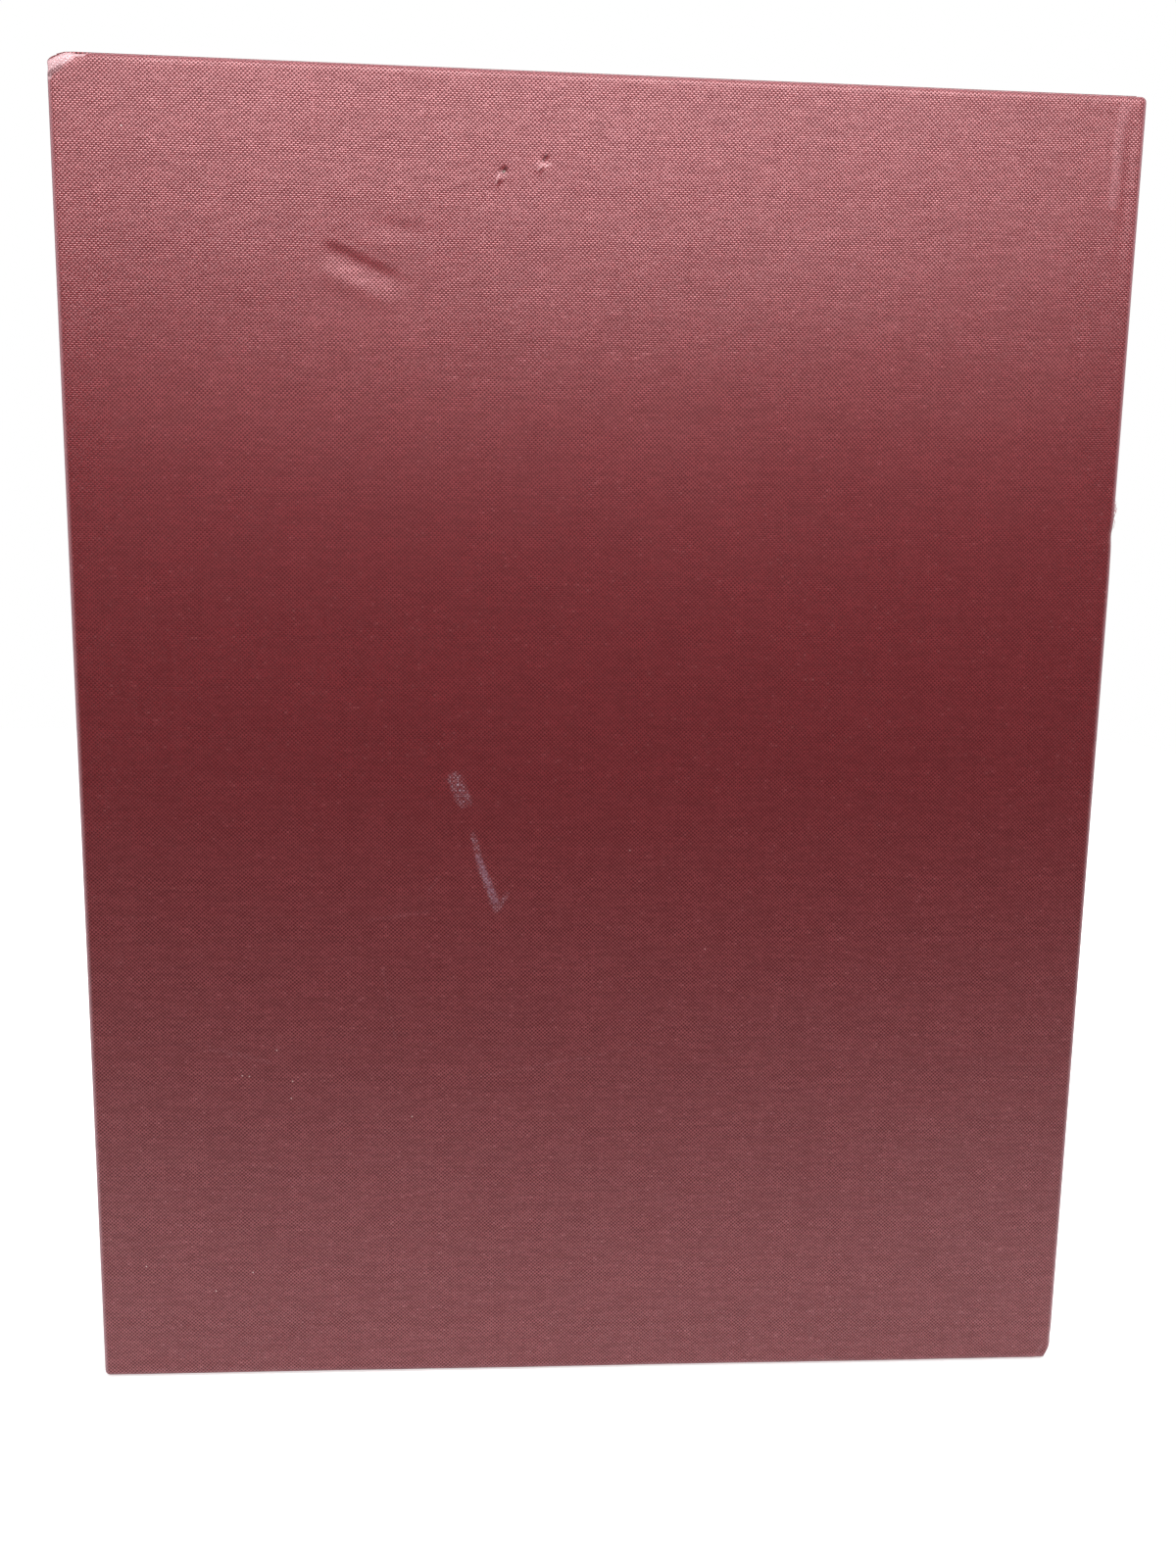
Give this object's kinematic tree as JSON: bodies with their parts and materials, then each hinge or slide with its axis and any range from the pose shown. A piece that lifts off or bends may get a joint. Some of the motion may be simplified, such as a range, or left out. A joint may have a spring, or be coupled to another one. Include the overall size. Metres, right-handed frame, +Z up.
{
  "type": "book slipcase",
  "caption": "Stiff cloth-covered slipcase for a large book, closed at head, tail and spine, open at the fore edge side.",
  "frame": {"origin": "middle of the underside of the tail, on the surface that the case stands on", "axes": "+Z up from tail to head, -Y out of the front, -X out of the open mouth, +X out of the closed spine"},
  "size_m": [0.246, 0.048, 0.314],
  "materials": {
    "book_cloth": "maroon linen-weave book cloth with a soft sheen",
    "greyboard": "uncoated grey board",
    "lining_paper": "plain off-white lining paper"
  },
  "bodies": {
    "root": {"front_board": "greyboard", "back_board": "greyboard", "spine_board": "greyboard", "head_board": "greyboard", "tail_board": "greyboard", "front_lining": "lining_paper", "back_lining": "lining_paper", "spine_lining": "lining_paper", "head_lining": "lining_paper", "tail_lining": "lining_paper", "cloth_wrap": "book_cloth", "head_strip": "book_cloth", "tail_strip": "book_cloth"}
  },
  "joints": []
}
